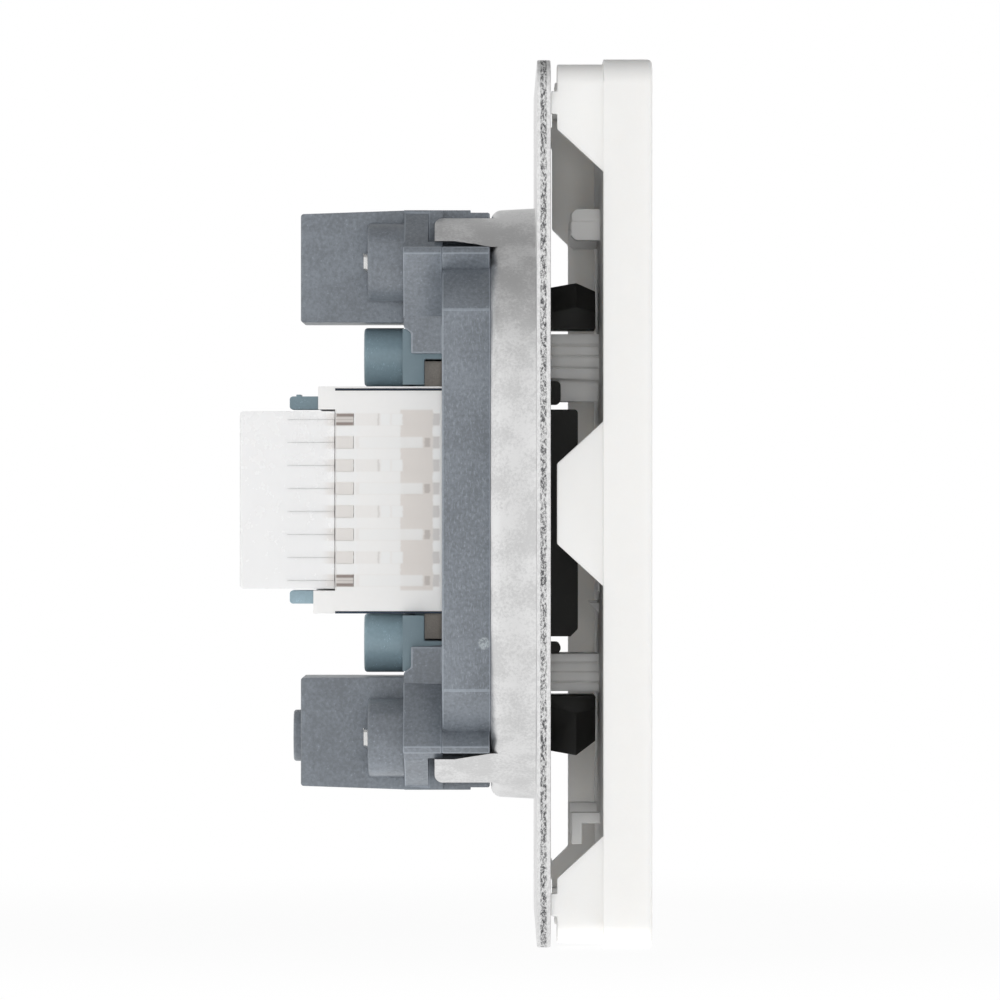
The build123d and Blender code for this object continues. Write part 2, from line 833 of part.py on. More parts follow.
def save(name, shape):
    export_step(shape, f"parts/{name}.step")
    print(name, len(shape.solids()), round(shape.volume, 1))


os.makedirs("parts", exist_ok=True)
save("support_plate", support_plate())
save("base_frame", base_frame())
for number, (x, z) in enumerate(screw_places(), 1):
    save(f"fixing_screw_{number}", fixing_screw(x, z))
save("circuit_board", circuit_board())
save("jack_holder", jack_holder())
save("idc_housing", idc_housing())
for number, (z, side) in enumerate(ways(), 1):
    save(f"idc_contact_{number}", idc_contact(z, side))
save("wire_cap", wire_cap())
save("jack_housing", jack_housing())
save("contact_carrier", contact_carrier())
for number, x in enumerate(wire_places(), 1):
    save(f"jack_contact_{number}", jack_contact(x))
upper_peg, lower_peg = latch_peg_places()
save("upper_latch", latch(1, upper_latch_inner, upper_latch_shoulder, upper_latch_height,
                          upper_latch_nose, upper_peg))
save("lower_latch", latch(-1, lower_latch_inner, lower_latch_shoulder, lower_latch_height,
                          lower_latch_nose, lower_peg))
save("cover", cover())
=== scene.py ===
import math

import bmesh
import bpy
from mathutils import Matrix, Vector


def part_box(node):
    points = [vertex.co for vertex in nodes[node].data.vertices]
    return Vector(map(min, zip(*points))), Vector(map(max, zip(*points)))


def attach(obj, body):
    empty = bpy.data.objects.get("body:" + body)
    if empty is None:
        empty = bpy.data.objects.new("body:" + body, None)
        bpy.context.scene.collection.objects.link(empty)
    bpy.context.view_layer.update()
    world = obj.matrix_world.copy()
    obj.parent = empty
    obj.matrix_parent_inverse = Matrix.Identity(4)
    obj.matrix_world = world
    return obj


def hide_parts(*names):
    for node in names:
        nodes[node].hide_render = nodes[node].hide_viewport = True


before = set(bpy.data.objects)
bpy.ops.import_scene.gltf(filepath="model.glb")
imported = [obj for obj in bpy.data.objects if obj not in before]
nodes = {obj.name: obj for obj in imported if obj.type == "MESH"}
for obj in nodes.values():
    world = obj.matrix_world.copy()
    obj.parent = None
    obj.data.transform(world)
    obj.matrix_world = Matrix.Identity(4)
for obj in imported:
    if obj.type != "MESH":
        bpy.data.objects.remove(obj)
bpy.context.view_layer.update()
mm = 0.001


def addObject(name, data):
    item = bpy.data.objects.new(name, data)
    bpy.context.scene.collection.objects.link(item)
    return item


# Camera beside the socket, level with it, far off with a long lens
shot = {"distance": 730.5, "across": 2.95, "height": 0.3, "lens": 314.0, "sensor": 36.0,
        "clipStart": 0.05, "clipEnd": 20.0}


def makeCamera():
    data = bpy.data.cameras.new("camera")
    data.lens = shot["lens"]
    data.sensor_width = shot["sensor"]
    data.clip_start = shot["clipStart"]
    data.clip_end = shot["clipEnd"]
    camera = addObject("camera", data)
    camera.location = (-shot["distance"] * mm, shot["across"] * mm, shot["height"] * mm)
    camera.rotation_euler = Vector((1, 0, 0)).to_track_quat("-Z", "Y").to_euler()
    bpy.context.scene.camera = camera


makeCamera()
bpy.context.scene.view_settings.view_transform = "Standard"
print("camera ready")


# Small helpers for node trees
def addNode(tree, kind, inputs=None, **settings):
    node = tree.nodes.new(kind)
    for name, value in settings.items():
        setattr(node, name, value)
    for name, value in (inputs or {}).items():
        socket = node.inputs[name]
        if isinstance(value, bpy.types.NodeSocket):
            tree.links.new(value, socket)
        else:
            socket.default_value = value
    return node


def calc(tree, operation, a, b=0.0, c=0.0):  # one Math node
    return addNode(tree, "ShaderNodeMath", {0: a, 1: b, 2: c}, operation=operation).outputs[0]


def times(tree, *factors):
    product = factors[0]
    for factor in factors[1:]:
        product = calc(tree, "MULTIPLY", product, factor)
    return product


def blendColour(tree, factor, a, b):
    return addNode(tree, "ShaderNodeMix", {0: factor, 6: a, 7: b}, data_type="RGBA").outputs[2]


def smoothRange(tree, value, low, high, toLow=0.0, toHigh=1.0):
    sockets = {"Value": value, "From Min": low, "From Max": high, "To Min": toLow, "To Max": toHigh}
    return addNode(tree, "ShaderNodeMapRange", sockets, interpolation_type="SMOOTHSTEP").outputs[0]


def stretch(tree, place, scale, turn=(0, 0, 0)):
    sockets = {"Vector": place, "Rotation": turn, "Scale": scale}
    return addNode(tree, "ShaderNodeMapping", sockets).outputs[0]


def noise(tree, place, scale, detail, roughness=0.5, distortion=0.0):
    sockets = {"Vector": place, "Scale": scale, "Detail": detail, "Roughness": roughness,
               "Distortion": distortion}
    return addNode(tree, "ShaderNodeTexNoise", sockets).outputs[0]


def newGroup(name, inputs, outputs):
    tree = bpy.data.node_groups.new(name, "ShaderNodeTree")
    for label, kind, value in inputs:
        socket = tree.interface.new_socket(label, in_out="INPUT", socket_type=kind)
        if value is not None:
            socket.default_value = value
    for label in outputs:
        tree.interface.new_socket(label, in_out="OUTPUT", socket_type="NodeSocketFloat")
    return tree, tree.nodes.new("NodeGroupInput"), tree.nodes.new("NodeGroupOutput")


def useGroup(tree, group, inputs):
    return addNode(tree, "ShaderNodeGroup", inputs, node_tree=group)


# Fine spark texture of a mould: Height for a bump, Tint for the broad unevenness, Glint for
# bright grains
grainForm = {"detail": 3.0, "roughness": 0.65, "fineShare": 0.6, "broadScale": 0.07,
             "broadDetail": 2.0, "broadShare": 0.4, "spotScale": 0.9, "spot": (0.05, 0.28),
             "patch": (0.45, 0.62)}


def makeGrainGroup():
    tree, source, target = newGroup(
        "mouldGrain",
        [("Place", "NodeSocketVector", None), ("Scale", "NodeSocketFloat", 6.0),
         ("Glints", "NodeSocketFloat", 0.3)],
        ["Height", "Tint", "Glint"],
    )
    place, scale, glints = source.outputs[:3]
    fine = noise(tree, place, scale, grainForm["detail"], grainForm["roughness"])
    broadScale = times(tree, scale, grainForm["broadScale"])
    broad = noise(tree, place, broadScale, grainForm["broadDetail"])
    share = times(tree, broad, grainForm["broadShare"])
    mixed = calc(tree, "MULTIPLY_ADD", fine, grainForm["fineShare"], share)
    grains = addNode(tree, "ShaderNodeTexVoronoi", {
        "Vector": place, "Scale": times(tree, scale, grainForm["spotScale"]),
    })
    bright = smoothRange(tree, grains.outputs["Distance"], *grainForm["spot"], 1.0, 0.0)
    patch = smoothRange(tree, fine, *grainForm["patch"])
    tree.links.new(fine, target.inputs["Height"])
    tree.links.new(mixed, target.inputs["Tint"])
    tree.links.new(times(tree, bright, patch, glints), target.inputs["Glint"])
    return tree


# Short light scratches that lie in one direction
scuffForm = {"turn": (0.6, 0.2, 0.9), "stretch": (1.0, 7.0, 2.2), "detail": 4.0, "thin": (0.6, 0.7),
             "patchScale": 0.35, "patchDetail": 1.0, "patch": (0.5, 0.62)}


def makeScuffGroup():
    tree, source, target = newGroup(
        "scuffs",
        [("Place", "NodeSocketVector", None), ("Scale", "NodeSocketFloat", 1.0),
         ("Amount", "NodeSocketFloat", 0.5)],
        ["Mask"],
    )
    place, scale, amount = source.outputs[:3]
    turned = stretch(tree, place, scuffForm["stretch"], scuffForm["turn"])
    streak = noise(tree, turned, scale, scuffForm["detail"])
    patchScale = times(tree, scale, scuffForm["patchScale"])
    patch = noise(tree, place, patchScale, scuffForm["patchDetail"])
    thin = smoothRange(tree, streak, *scuffForm["thin"])
    where = smoothRange(tree, patch, *scuffForm["patch"])
    tree.links.new(times(tree, thin, where, amount), target.inputs["Mask"])
    return tree


# 1 between two values, with soft ends
def makeBandGroup():
    tree, source, target = newGroup(
        "softBand",
        [("Value", "NodeSocketFloat", 0.0), ("Low", "NodeSocketFloat", 0.0),
         ("High", "NodeSocketFloat", 1.0), ("Blur", "NodeSocketFloat", 0.1)],
        ["Mask"],
    )
    value, low, high, blur = source.outputs[:4]
    ends = [[calc(tree, side, end, blur) for side in ("SUBTRACT", "ADD")] for end in (low, high)]
    rise = smoothRange(tree, value, *ends[0])
    fall = smoothRange(tree, value, *ends[1], 1.0, 0.0)
    tree.links.new(times(tree, rise, fall), target.inputs["Mask"])
    return tree


mouldGrain = makeGrainGroup()
scuffs = makeScuffGroup()
softBand = makeBandGroup()


def softBox(tree, value, low, high, blur):
    ends = {"Value": value, "Low": low, "High": high, "Blur": blur}
    return useGroup(tree, softBand, ends).outputs[0]


# Material with a Principled shader; place is the Object coordinate in millimetres
def startMaterial(name, sockets):
    material = bpy.data.materials.new(name)
    material.use_nodes = True
    tree = material.node_tree
    shader = tree.nodes["Principled BSDF"]
    for label, value in sockets.items():
        shader.inputs[label].default_value = value
    coordinate = tree.nodes.new("ShaderNodeTexCoord")
    place = stretch(tree, coordinate.outputs["Object"], (1 / mm, 1 / mm, 1 / mm))
    return material, tree, shader, place


def splitPlace(tree, place):
    return addNode(tree, "ShaderNodeSeparateXYZ", {0: place}).outputs[:3]


def shade(colour, factor):
    return (colour[0] * factor, colour[1] * factor, colour[2] * factor, 1.0)


def addBump(tree, shader, height, strength, distance):
    sockets = {"Height": height, "Strength": strength, "Distance": distance * mm}
    bump = addNode(tree, "ShaderNodeBump", sockets)
    tree.links.new(bump.outputs[0], shader.inputs["Normal"])


def edgeMask(tree):  # 1 on the rounded edges of a dressed piece
    return addNode(tree, "ShaderNodeAttribute", attribute_name="edgeMask").outputs["Fac"]


roughRange = (0.3, 0.7)  # the part of a noise over which the roughness changes
tintRange = (0.32, 0.68)

# What a look has unless it says otherwise
plainLook = {"ior": 1.5, "specular": 0.5, "sockets": {}, "roughSpread": 0.06, "bumpDepth": 0.03,
             "scuffScale": 1.2, "wornShade": 1.7, "glintShade": 1.9, "edgeLight": 0.0,
             "edgeHighlightShade": 2.2}


# Moulded plastic: colour with unevenness, spark grain, scuffs and a little roughness variation
def mouldedPlastic(name, ownLook):
    look = {**plainLook, **ownLook}
    sockets = {"IOR": look["ior"], "Specular IOR Level": look["specular"], **look["sockets"]}
    material, tree, shader, place = startMaterial(name, sockets)
    grain = useGroup(tree, mouldGrain, {
        "Place": place, "Scale": look["grainScale"], "Glints": look["glints"],
    })
    colour = look["colour"]
    tint = smoothRange(tree, grain.outputs["Tint"], *tintRange)
    darker, lighter = shade(colour, 1 - look["uneven"]), shade(colour, 1 + look["uneven"])
    tone = blendColour(tree, tint, darker, lighter)
    worn = useGroup(tree, scuffs, {
        "Place": place, "Scale": look["scuffScale"], "Amount": look["scuffs"],
    })
    tone = blendColour(tree, worn.outputs[0], tone, shade(colour, look["wornShade"]))
    tone = blendColour(tree, grain.outputs["Glint"], tone, shade(colour, look["glintShade"]))
    # painted highlight: the rounded edges are lightened as if they catch the light
    paintedEdgeHighlight = times(tree, edgeMask(tree), look["edgeLight"])
    tone = blendColour(tree, paintedEdgeHighlight, tone, shade(colour, look["edgeHighlightShade"]))
    tree.links.new(tone, shader.inputs["Base Color"])
    low, high = look["roughness"] - look["roughSpread"], look["roughness"] + look["roughSpread"]
    rough = smoothRange(tree, grain.outputs["Tint"], *roughRange, low, high)
    tree.links.new(rough, shader.inputs["Roughness"])
    addBump(tree, shader, grain.outputs["Height"], look["bump"], look["bumpDepth"])
    return material, tree, shader, place, tone


looks = {
    "cover": {"colour": (0.87, 0.865, 0.85), "grainScale": 9.0, "glints": 0.0, "uneven": 0.008,
              "scuffs": 0.03, "roughness": 0.42, "bump": 0.12, "bumpDepth": 0.01,
              "sockets": {"Subsurface Weight": 0.5, "Subsurface Scale": 0.0015,
                          "Subsurface Radius": (1, 0.95, 0.9)}},
    "base": {"colour": (0.178, 0.2, 0.228), "grainScale": 3.4, "glints": 0.5, "uneven": 0.24,
             "scuffs": 0.14, "roughness": 0.42, "bump": 1.0, "bumpDepth": 0.06,
             "glintShade": 2.0, "specular": 0.75, "edgeLight": 0.4},
    "teal": {"colour": (0.28, 0.385, 0.44), "grainScale": 3.0, "glints": 0.05, "uneven": 0.07,
             "scuffs": 0.6, "scuffScale": 2.4, "roughness": 0.36, "bump": 0.4,
             "wornShade": 2.4, "edgeLight": 0.15},
    "black": {"colour": (0.014, 0.014, 0.013), "grainScale": 7.0, "glints": 0.1, "uneven": 0.15,
              "scuffs": 0.25, "roughness": 0.4, "bump": 0.35, "bumpDepth": 0.02,
              "wornShade": 4.0, "glintShade": 3.0, "edgeLight": 0.6},
    "board": {"colour": (0.36, 0.33, 0.3), "grainScale": 6.0, "glints": 0.3, "uneven": 0.15,
              "scuffs": 0.15, "roughness": 0.6, "bump": 0.5},
}

# Holder: its deck, in front of the bosses, is painted darker as shade of the flanges above it
deck = {"edge": (11.02, 11.14), "share": 0.85, "shade": 0.55}


def makeTealPlastic():
    material, tree, shader, place, tone = mouldedPlastic("tealPlastic", looks["teal"])
    depth = splitPlace(tree, place)[1]
    # painted shade on the deck
    deckShade = smoothRange(tree, depth, *deck["edge"], deck["share"], 0.0)
    tone = blendColour(tree, deckShade, tone, shade(looks["teal"]["colour"], deck["shade"]))
    tree.links.new(tone, shader.inputs["Base Color"])
    return material


# Base: gate mark of the moulding on both sides, light flecks on its side strips, and where its
# flanges and bosses are smooth
gate = {"side": 17.0, "depth": 4.26, "height": -11.43, "radius": 0.5, "soft": (0.7, 1.2),
        "swirlScale": 3.5, "swirlDetail": 4.0, "swirl": 1.5, "swirlRange": (0.4, 0.62),
        "strength": (0.15, 0.8), "colour": (0.5, 0.55, 0.58, 1)}
flecks = {"turn": (0.45, 0, 0), "stretch": (1, 3.2, 1), "scale": 2.2, "detail": 3.0,
          "range": (0.54, 0.66), "share": 0.35, "shade": 2.0}
smoothPart = {"front": 7.75, "rear": 14.2, "blur": 0.05, "tower": 5.9, "roughness": 0.3,
              "bump": 0.25}


def makeBasePlastic():
    material, tree, shader, place, colour = mouldedPlastic("basePlastic", looks["base"])
    x, y, z = splitPlace(tree, place)
    across = calc(tree, "ABSOLUTE", x)
    onSide = calc(tree, "GREATER_THAN", across, gate["side"])
    dy = calc(tree, "SUBTRACT", y, gate["depth"])
    dz = calc(tree, "SUBTRACT", z, gate["height"])
    away = calc(tree, "SQRT", calc(tree, "ADD", times(tree, dy, dy), times(tree, dz, dz)))
    inner, outer = gate["radius"] * gate["soft"][0], gate["radius"] * gate["soft"][1]
    disc = smoothRange(tree, away, inner, outer, 1.0, 0.0)
    swirl = noise(tree, place, gate["swirlScale"], gate["swirlDetail"], distortion=gate["swirl"])
    swirl = smoothRange(tree, swirl, *gate["swirlRange"], *gate["strength"])
    mark = times(tree, disc, onSide, swirl)
    streaks = stretch(tree, place, flecks["stretch"], flecks["turn"])
    specks = noise(tree, streaks, flecks["scale"], flecks["detail"])
    light = times(tree, smoothRange(tree, specks, *flecks["range"]), onSide, flecks["share"])
    colour = blendColour(tree, light, colour, shade(looks["base"]["colour"], flecks["shade"]))
    colour = blendColour(tree, mark, colour, gate["colour"])
    tree.links.new(colour, shader.inputs["Base Color"])
    behind = softBox(tree, y, smoothPart["front"], smoothPart["rear"], smoothPart["blur"])
    smooth = times(tree, behind, calc(tree, "GREATER_THAN", across, smoothPart["tower"]))
    grained = shader.inputs["Roughness"].links[0].from_socket
    level = addNode(tree, "ShaderNodeMix", {0: smooth, 2: grained, 3: smoothPart["roughness"]})
    tree.links.new(level.outputs[0], shader.inputs["Roughness"])
    bump = shader.inputs["Normal"].links[0].from_node
    depth = smoothRange(tree, smooth, 0, 1, looks["base"]["bump"], smoothPart["bump"])
    tree.links.new(depth, bump.inputs["Strength"])
    return material


# Zinc plated sheet, matt and mottled, with a torn rim where it was punched
steel = {"colour": (0.75, 0.75, 0.75), "darkShade": 0.88, "lightShade": 1.13, "mottle": (0.4, 0.6),
         "fineScale": 4.0, "fineDetail": 5.0, "fineRoughness": 0.7, "broadScale": 0.35,
         "broadDetail": 2.0, "share": 0.5, "roughness": 0.46, "lessRough": 0.08, "moreRough": 0.1,
         "bump": 0.45, "bumpDepth": 0.05}
rim = {"straight": 32.5, "reach": 2.8, "colour": (0.86, 0.86, 0.86, 1), "torn": (-0.76, -0.27),
       "blur": 0.07, "stretch": (1.0, 2.6, 1.3), "scale": 2.3, "detail": 6.0, "roughness": 0.85,
       "specks": (0.44, 0.56), "outside": 0.2, "shadow": 0.12, "dark": (0.1, 0.1, 0.105, 1),
       "relief": 2.5}


def makeZincSteel():
    material, tree, shader, place = startMaterial("zincSteel", {"Metallic": 1.0})
    x, y, z = splitPlace(tree, place)
    fine = noise(tree, place, steel["fineScale"], steel["fineDetail"], steel["fineRoughness"])
    broad = noise(tree, place, steel["broadScale"], steel["broadDetail"])
    tone = calc(tree, "MULTIPLY_ADD", fine, steel["share"], times(tree, broad, steel["share"]))
    darker = shade(steel["colour"], steel["darkShade"])
    lighter = shade(steel["colour"], steel["lightShade"])
    plain = blendColour(tree, smoothRange(tree, tone, *steel["mottle"]), darker, lighter)
    squares = []
    for value in (x, z):  # how far into the rounded corner
        past = calc(tree, "SUBTRACT", calc(tree, "ABSOLUTE", value), rim["straight"])
        past = calc(tree, "MAXIMUM", past, 0.0)
        squares.append(times(tree, past, past))
    reach = calc(tree, "SQRT", calc(tree, "ADD", *squares))
    onRim = calc(tree, "GREATER_THAN", reach, rim["reach"])
    stretched = stretch(tree, place, rim["stretch"])
    specks = noise(tree, stretched, rim["scale"], rim["detail"], rim["roughness"])
    dark = smoothRange(tree, specks, *rim["specks"], 1.0, 0.0)
    fracture = softBox(tree, y, *rim["torn"], rim["blur"])
    torn = times(tree, dark, onRim, smoothRange(tree, fracture, 0, 1, rim["outside"], 1.0))
    strength = calc(tree, "MAXIMUM", torn, times(tree, fracture, onRim, rim["shadow"]))
    plain = blendColour(tree, onRim, plain, rim["colour"])
    plain = blendColour(tree, strength, plain, rim["dark"])
    tree.links.new(plain, shader.inputs["Base Color"])
    low, high = steel["roughness"] - steel["lessRough"], steel["roughness"] + steel["moreRough"]
    rough = smoothRange(tree, tone, *roughRange, low, high)
    tree.links.new(rough, shader.inputs["Roughness"])
    heights = calc(tree, "MULTIPLY_ADD", times(tree, specks, onRim), rim["relief"], fine)
    addBump(tree, shader, heights, steel["bump"], steel["bumpDepth"])
    return material


# Plated metal of the contacts, the wires and the screws: colour, roughness, scale of its brushing
platings = {
    "tinnedBronze": ((0.6, 0.54, 0.48), 0.3, (1, 1, 5)),
    "goldWire": ((0.85, 0.62, 0.24), 0.2, (5, 1, 1)),
    "screwSteel": ((0.8, 0.8, 0.79), 0.22, (1, 6, 1)),
}
brushing = {"scale": 2.0, "detail": 4.0, "roughness": 0.6, "darkShade": 0.75, "lightShade": 1.15,
            "lessRough": 0.08, "moreRough": 0.1, "bump": 0.3, "bumpDepth": 0.01}


def platedMetal(name):
    colour, roughness, streaks = platings[name]
    material, tree, shader, place = startMaterial(name, {"Metallic": 1.0})
    drawn = stretch(tree, place, streaks)
    brushed = noise(tree, drawn, brushing["scale"], brushing["detail"], brushing["roughness"])
    darker, lighter = shade(colour, brushing["darkShade"]), shade(colour, brushing["lightShade"])
    toned = blendColour(tree, brushed, darker, lighter)
    tree.links.new(toned, shader.inputs["Base Color"])
    low, high = roughness - brushing["lessRough"], roughness + brushing["moreRough"]
    tree.links.new(smoothRange(tree, brushed, *roughRange, low, high), shader.inputs["Roughness"])
    addBump(tree, shader, brushed, brushing["bump"], brushing["bumpDepth"])
    return material


# Milky housing: the contacts inside show through its side walls as soft marks in eight rows
block = {"rows": 8, "top": 6.9675, "pitch": 1.905, "side": 8.35, "colour": (0.935, 0.925, 0.91),
         "darkShade": 0.97, "lightShade": 1.02, "grainScale": 2.5, "wobble": 0.25,
         "rough": (0.28, 0.42), "bump": 0.15, "bumpDepth": 0.03, "rowReach": 0.42,
         "endBlur": 0.06, "markBlur": 0.1, "rowBlur": 0.045,
         "sockets": {"IOR": 1.5, "Subsurface Weight": 0.2, "Subsurface Scale": 0.0006,
                     "Subsurface Radius": (1, 0.95, 0.9)}}
beige = (0.62, 0.53, 0.46, 1)
clearWhite = (0.93, 0.93, 0.92, 1)
brown = (0.2, 0.15, 0.13, 1)
grooveShade = (0.015, 0.03, 0.06, 1)
# name: low and high along Y, low and high of the distance from the row's middle as a share of the
# pitch, which rows (0 odd, 1 even, None all), colour, strength
blockMarks = {
    "innerShade": (8.5, 11.2, 0.0, 0.5, None, beige, 0.42),
    "rowShade": (11.2, 14.9, 0.0, 0.27, None, beige, 0.12),
    "webs": (14.8, 16.5, 0.3, 0.5, None, clearWhite, 0.85),
    "outerWebs": (16.65, 17.9, 0.3, 0.5, None, clearWhite, 0.6),
    "tips": (16.6, 17.5, 0.0, 0.27, None, beige, 0.5),
    "blades": (15.1, 16.5, 0.0, 0.27, None, beige, 0.33),
    "squareOuter": (12.05, 12.8, 0.0, 0.26, 0, clearWhite, 0.9),
    "squareInner": (11.0, 11.9, 0.0, 0.25, 0, clearWhite, 0.9),
    "bar": (9.35, 14.6, 0.0, 0.24, 1, clearWhite, 0.75),
    "barTip": (8.75, 9.2, 0.0, 0.2, 1, brown, 0.35),
    "feet": (7.95, 8.5, 0.0, 0.26, None, brown, 0.32),
    "footWebs": (7.75, 8.5, 0.33, 0.5, None, clearWhite, 0.8),
    "rowLine": (12.95, 13.05, 0.0, 0.26, 0, brown, 0.3),
    "endLine": (16.5, 16.6, 0.0, 0.5, None, brown, 0.22),
}
# The blades of the first and the last row stand open in their windows, as two dark stripes
endBlade = {"along": (15.07, 16.5), "alongBlur": 0.05, "off": (-0.2, 0.25), "offBlur": 0.03,
            "stripeMiddle": 0.06, "stripe": (0.03, 0.09), "stripeShade": (0.25, 0.85)}
# Grooves above and below the rows, painted navy as the shade inside them
groove = {"heights": ((9.33, 9.57), (-9.12, -8.88)), "along": (7.0, 16.62), "across": (8.17, 8.55),
          "edge": 0.01, "endBlur": 0.05}
openEnd = 0.2  # how far a mark's band runs past the row's middle or its border


# Height counted in rows from the first one, the nearest row, and how far it lies off that row
def rowsFrom(tree, z):
    rows = calc(tree, "DIVIDE", calc(tree, "SUBTRACT", block["top"], z), block["pitch"])
    row = calc(tree, "ROUND", rows)
    return rows, row, calc(tree, "ABSOLUTE", calc(tree, "SUBTRACT", rows, row))


def makeMilkyHousing():
    material, tree, shader, place = startMaterial("milkyHousing", block["sockets"])
    x, y, z = splitPlace(tree, place)
    grainSockets = {"Place": place, "Scale": block["grainScale"], "Glints": 0.0}
    grain = useGroup(tree, mouldGrain, grainSockets)
    darker = shade(block["colour"], block["darkShade"])
    lighter = shade(block["colour"], block["lightShade"])
    colour = blendColour(tree, grain.outputs["Tint"], darker, lighter)
    sway = calc(tree, "SUBTRACT", grain.outputs["Height"], 0.5)
    along = calc(tree, "ADD", y, times(tree, sway, block["wobble"]))
    rows, row, off = rowsFrom(tree, z)
    last = block["rows"] - 1
    reach = block["rowReach"]
    inBlock = softBox(tree, rows, -reach, last + reach, block["endBlur"])
    across = calc(tree, "ABSOLUTE", x)
    shown = times(tree, inBlock, calc(tree, "GREATER_THAN", across, block["side"]))
    farSide = calc(tree, "GREATER_THAN", x, 0.0)
    evenRow = calc(tree, "MODULO", calc(tree, "ADD", row, farSide), 2.0)
    oddRow = calc(tree, "SUBTRACT", 1.0, evenRow)
    for low, high, near, far, rowsMarked, tint, strength in blockMarks.values():
        nearEdge = near - openEnd if near == 0.0 else near
        farEdge = far + openEnd if far == 0.5 else far
        factors = [softBox(tree, along, low, high, block["markBlur"]), shown,
                   softBox(tree, off, nearEdge, farEdge, block["rowBlur"])]
        if rowsMarked is not None:
            factors.append(evenRow if rowsMarked == 1 else oddRow)
        colour = blendColour(tree, times(tree, *factors, strength), colour, tint)
    isFirst = calc(tree, "LESS_THAN", row, 0.5)
    isLast = calc(tree, "GREATER_THAN", row, last - 0.5)
    fromStripe = calc(tree, "SUBTRACT", off, endBlade["stripeMiddle"])
    stripes = smoothRange(tree, calc(tree, "ABSOLUTE", fromStripe), *endBlade["stripe"],
                          *endBlade["stripeShade"])
    blade = times(tree, softBox(tree, along, *endBlade["along"], endBlade["alongBlur"]),
                  softBox(tree, off, *endBlade["off"], endBlade["offBlur"]))
    inEndRow = times(tree, calc(tree, "ADD", isFirst, isLast), shown)
    colour = blendColour(tree, times(tree, blade, stripes, inEndRow), colour, brown)
    beyond = calc(tree, "GREATER_THAN", across, groove["across"][0])
    within = times(tree, beyond, calc(tree, "LESS_THAN", across, groove["across"][1]))
    # painted shade: the groove floors and walls are darkened to navy
    for low, high in groove["heights"]:
        line = times(tree, softBox(tree, z, low, high, groove["edge"]),
                     softBox(tree, y, *groove["along"], groove["endBlur"]), within)
        colour = blendColour(tree, line, colour, grooveShade)
    tree.links.new(colour, shader.inputs["Base Color"])
    rough = smoothRange(tree, grain.outputs["Tint"], *roughRange, *block["rough"])
    tree.links.new(rough, shader.inputs["Roughness"])
    addBump(tree, shader, grain.outputs["Height"], block["bump"], block["bumpDepth"])
    return material


# Cloudy clear cap with faint flow lines; the contacts' tips show through its front
cap = {"front": 16.8, "fade": 17.9, "share": 0.27, "shareBlur": 0.05, "tips": 0.3,
       "grainScale": 1.2, "flowStretch": (1.0, 1.2, 0.12), "flowScale": 1.5, "flowDetail": 2.0,
       "tones": ((0.96, 0.96, 0.96, 1), (0.975, 0.975, 0.975, 1)), "rough": (0.2, 0.32),
       "bump": 0.06, "bumpDepth": 0.05,
       "sockets": {"IOR": 1.4, "Transmission Weight": 0.06, "Subsurface Weight": 0.3,
                   "Subsurface Scale": 0.0005, "Subsurface Radius": (1, 0.97, 0.95)}}


def makeClearPlastic():
    material, tree, shader, place = startMaterial("clearPlastic", cap["sockets"])
    y, z = splitPlace(tree, place)[1:]
    grainSockets = {"Place": place, "Scale": cap["grainScale"], "Glints": 0.0}
    grain = useGroup(tree, mouldGrain, grainSockets)
    stretched = stretch(tree, place, cap["flowStretch"])
    flow = noise(tree, stretched, cap["flowScale"], cap["flowDetail"])
    tone = blendColour(tree, flow, *cap["tones"])
    off = rowsFrom(tree, z)[2]
    near = smoothRange(tree, y, cap["front"], cap["fade"], cap["tips"], 0.0)
    tips = times(tree, near, softBox(tree, off, -openEnd, cap["share"], cap["shareBlur"]))
    tree.links.new(blendColour(tree, tips, tone, beige), shader.inputs["Base Color"])
    rough = smoothRange(tree, grain.outputs["Tint"], *roughRange, *cap["rough"])
    tree.links.new(rough, shader.inputs["Roughness"])
    addBump(tree, shader, flow, cap["bump"], cap["bumpDepth"])
    return material


coverPlastic = mouldedPlastic("coverPlastic", looks["cover"])[0]
tealPlastic = makeTealPlastic()
blackPlastic = mouldedPlastic("blackPlastic", looks["black"])[0]
boardLaminate = mouldedPlastic("boardLaminate", looks["board"])[0]
basePlastic = makeBasePlastic()
zincSteel = makeZincSteel()
tinnedBronze = platedMetal("tinnedBronze")
goldWire = platedMetal("goldWire")
screwSteel = platedMetal("screwSteel")
milkyHousing = makeMilkyHousing()
clearPlastic = makeClearPlastic()
print("materials ready")

# Places of the cap's front and slits and of the block's side windows, and where they go, in mm
capForm = {"front": 16.9, "newFront": 16.64, "slit": 0.2, "newSlit": 0.006, "near": 0.02}
windowForm = {"across": (8.2, 8.3), "along": (9.0, 11.0), "newAcross": 8.57}


def narrowSlit(spot):  # the cap's slits become hairlines, and its front is brought to the comb
    if abs(spot.y / mm - capForm["front"]) < capForm["near"]:
        spot = Vector((spot.x, capForm["newFront"] * mm, spot.z))
    row = round((block["top"] - spot.z / mm) / block["pitch"])
    middle = block["top"] - block["pitch"] * row
    off = spot.z / mm - middle
    if abs(abs(off) - capForm["slit"]) < capForm["near"]:
        return Vector((spot.x, spot.y, (middle + math.copysign(capForm["newSlit"], off)) * mm))
    return spot


def fillWindow(spot):  # the side windows are brought nearly flush with the wall
    x, y = abs(spot.x / mm), spot.y / mm
    if (windowForm["across"][0] < x < windowForm["across"][1]
            and windowForm["along"][0] < y < windowForm["along"][1]):
        return Vector((math.copysign(windowForm["newAcross"] * mm, spot.x), spot.y, spot.z))
    return spot


